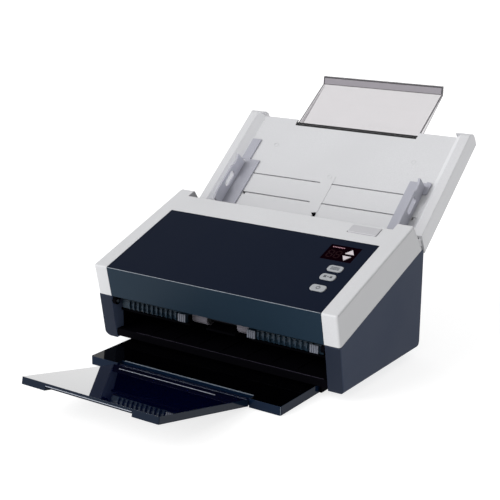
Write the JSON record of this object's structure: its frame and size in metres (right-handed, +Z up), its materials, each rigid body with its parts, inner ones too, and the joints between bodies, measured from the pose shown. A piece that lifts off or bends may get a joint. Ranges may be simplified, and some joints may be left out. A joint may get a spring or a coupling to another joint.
{
  "type": "sheet fed document scanner",
  "caption": "Desktop sheet-fed scanner: sloped opening cover, folding input chute with sliding guides and clear extension, drawer output tray with flap.",
  "frame": {"origin": "on the table, under the middle of the object's box with both trays out", "axes": "+X to the operator's right, +Y to the rear along the paper's way, +Z up"},
  "size_m": [0.316, 0.57, 0.2784],
  "materials": {
    "white_shell": "fine satin texture",
    "slate_shell": "fine matt texture",
    "slate_panel": "satin",
    "navy_panel": "smooth satin",
    "black_gloss": "polished",
    "black_inner": "matt",
    "grey_guide": "satin",
    "clear_smoke": "clear smoked plastic",
    "scan_glass": "polished",
    "silver_key": "satin silver",
    "grey_rubber": "ground rubber",
    "black_rubber": "matt",
    "steel": "ground",
    "bronze": "sintered",
    "pulley_plastic": "natural moulded",
    "circuit_board": "solder mask"
  },
  "bodies": {
    "base": {"base_bottom": "black_inner", "left_side_shell": "slate_shell", "right_side_shell": "slate_shell", "rear_shell": "slate_shell", "bay_floor": "black_inner", "bay_liner": "black_inner", "exit_guide": "black_inner", "lower_path_plate": "black_inner", "lower_scan_module": "black_inner", "lower_scan_glass": "scan_glass", "main_board": "circuit_board", "drive_motor": "steel", "drive_belt": "black_rubber", "motor_belt": "black_rubber", "shaft_bushes": "bronze", "tray_rails": "black_inner", "feet": "black_rubber", "base_screws": "steel", "dc_jack": "black_inner", "usb_port": "black_inner", "cover_hinge_pins": "steel"},
    "exit_drive": {"exit_shaft": "steel", "exit_rollers": "grey_rubber", "exit_pulley": "pulley_plastic"},
    "transport_drive": {"transport_shaft": "steel", "transport_rollers": "grey_rubber", "transport_pulley": "pulley_plastic"},
    "feed_drive": {"feed_shaft": "steel", "feed_rollers": "grey_rubber", "feed_pulley": "pulley_plastic"},
    "motor_rotor": {"motor_pulley": "pulley_plastic"},
    "separation_drive": {"separation_roller": "grey_rubber"},
    "cover": {"cover_shell": "white_shell", "top_panel": "navy_panel", "front_panel": "slate_panel", "cover_inner": "black_inner", "upper_scan_module": "black_inner", "upper_scan_glass": "scan_glass", "control_board": "circuit_board", "display_window": "black_gloss", "idler_holders": "black_inner"},
    "chute": {"chute_front_shell": "white_shell", "chute_back_shell": "white_shell", "chute_pins": "steel"},
    "rear_key": {"rear_key": "silver_key"},
    "middle_key": {"middle_key": "silver_key"},
    "front_key": {"front_key": "silver_key"},
    "up_key": {"up_key": "silver_key"},
    "down_key": {"down_key": "silver_key"},
    "release_button": {"release_button": "silver_key"},
    "exit_idlers": {"exit_idlers": "grey_rubber"},
    "feed_idlers": {"feed_idlers": "grey_rubber"},
    "pick_roller": {"pick_roller": "grey_rubber"},
    "left_guide": {"left_guide": "grey_guide"},
    "right_guide": {"right_guide": "grey_guide"},
    "guide_pinion": {"guide_pinion": "grey_guide"},
    "chute_extension": {"chute_extension": "clear_smoke"},
    "sensor_flag": {"sensor_flag": "black_inner"},
    "output_tray": {"output_tray": "black_gloss"},
    "tray_extension": {"tray_extension": "black_gloss"}
  },
  "joints": [
    {"name": "cover_hinge", "type": "hinge", "parent": "base", "child": "cover", "pos_m": [0, -0.0807, 0.056], "axis": [1, 0, 0], "range_deg": [0, 60]},
    {"name": "chute_hinge", "type": "hinge", "parent": "base", "child": "chute", "pos_m": [0, 0.1023, 0.13], "axis": [1, 0, 0], "range_deg": [0, 78]},
    {"name": "left_guide_slide", "type": "slide", "parent": "chute", "child": "left_guide", "axis": [1, 0, 0], "range_m": [0, 0.09]},
    {"name": "right_guide_slide", "type": "slide", "parent": "chute", "child": "right_guide", "axis": [1, 0, 0], "range_m": [-0.09, 0]},
    {"name": "guide_pinion_spin", "type": "hinge", "parent": "chute", "child": "guide_pinion", "pos_m": [0, 0.14042, 0.1559], "axis": [0, -0.6347, 0.7727], "range_deg": [-574, 0]},
    {"name": "chute_extension_slide", "type": "slide", "parent": "chute", "child": "chute_extension", "axis": [0, -0.7727, -0.6347], "range_m": [0, 0.068]},
    {"name": "sensor_flag_pivot", "type": "hinge", "parent": "chute", "child": "sensor_flag", "pos_m": [0.0062, 0.11659, 0.13607], "axis": [1, 0, 0], "range_deg": [0, 30], "stiffness_Nm_per_rad": 0.003, "springref_deg": -14.32},
    {"name": "output_tray_slide", "type": "slide", "parent": "base", "child": "output_tray", "axis": [0, 1, 0], "range_m": [0, 0.05]},
    {"name": "tray_extension_tilt", "type": "hinge", "parent": "output_tray", "child": "tray_extension", "pos_m": [0, -0.1373, 0.0053], "axis": [1, 0, 0], "range_deg": [0, 12.5]},
    {"name": "feed_spin", "type": "hinge", "parent": "base", "child": "feed_drive", "pos_m": [0, 0.03213, 0.08412], "axis": [1, 0, 0], "continuous": true},
    {"name": "transport_spin", "type": "hinge", "parent": "base", "child": "transport_drive", "pos_m": [0, -0.01971, 0.06576], "axis": [1, 0, 0], "continuous": true},
    {"name": "exit_spin", "type": "hinge", "parent": "base", "child": "exit_drive", "pos_m": [0, -0.05883, 0.05191], "axis": [1, 0, 0], "continuous": true},
    {"name": "motor_spin", "type": "hinge", "parent": "base", "child": "motor_rotor", "pos_m": [0, 0.0683, 0.05], "axis": [1, 0, 0], "continuous": true},
    {"name": "separation_spin", "type": "hinge", "parent": "base", "child": "separation_drive", "pos_m": [0, 0.05853, 0.09347], "axis": [1, 0, 0], "continuous": true},
    {"name": "pick_roller_spin", "type": "hinge", "parent": "cover", "child": "pick_roller", "pos_m": [0, 0.05199, 0.11195], "axis": [1, 0, 0], "continuous": true},
    {"name": "exit_idler_spin", "type": "hinge", "parent": "cover", "child": "exit_idlers", "pos_m": [0, -0.06334, 0.06464], "axis": [1, 0, 0], "continuous": true},
    {"name": "feed_idler_spin", "type": "hinge", "parent": "cover", "child": "feed_idlers", "pos_m": [0, 0.02763, 0.09685], "axis": [1, 0, 0], "continuous": true},
    {"name": "rear_key_press", "type": "slide", "parent": "cover", "child": "rear_key", "axis": [0, 0.3338, -0.9426], "range_m": [0, 0.0009], "stiffness_N_per_m": 600, "springref_m": -0.0006},
    {"name": "middle_key_press", "type": "slide", "parent": "cover", "child": "middle_key", "axis": [0, 0.3338, -0.9426], "range_m": [0, 0.0009], "stiffness_N_per_m": 600, "springref_m": -0.0006},
    {"name": "front_key_press", "type": "slide", "parent": "cover", "child": "front_key", "axis": [0, 0.3338, -0.9426], "range_m": [0, 0.0009], "stiffness_N_per_m": 600, "springref_m": -0.0006},
    {"name": "up_key_press", "type": "slide", "parent": "cover", "child": "up_key", "axis": [0, 0.3338, -0.9426], "range_m": [0, 0.0006], "stiffness_N_per_m": 600, "springref_m": -0.0005},
    {"name": "down_key_press", "type": "slide", "parent": "cover", "child": "down_key", "axis": [0, 0.3338, -0.9426], "range_m": [0, 0.0006], "stiffness_N_per_m": 600, "springref_m": -0.0005},
    {"name": "release_button_press", "type": "slide", "parent": "cover", "child": "release_button", "axis": [0, 0.3338, -0.9426], "range_m": [0, 0.0015], "stiffness_N_per_m": 900, "springref_m": -0.001}
  ],
  "couplings": [
    {"joint": "right_guide_slide", "follows": "left_guide_slide", "ratio": -1},
    {"joint": "guide_pinion_spin", "follows": "left_guide_slide", "rad_per_m": -111.11},
    {"joint": "transport_spin", "follows": "feed_spin", "ratio": 1},
    {"joint": "exit_spin", "follows": "feed_spin", "ratio": 1},
    {"joint": "motor_spin", "follows": "feed_spin", "ratio": 1.9167}
  ]
}
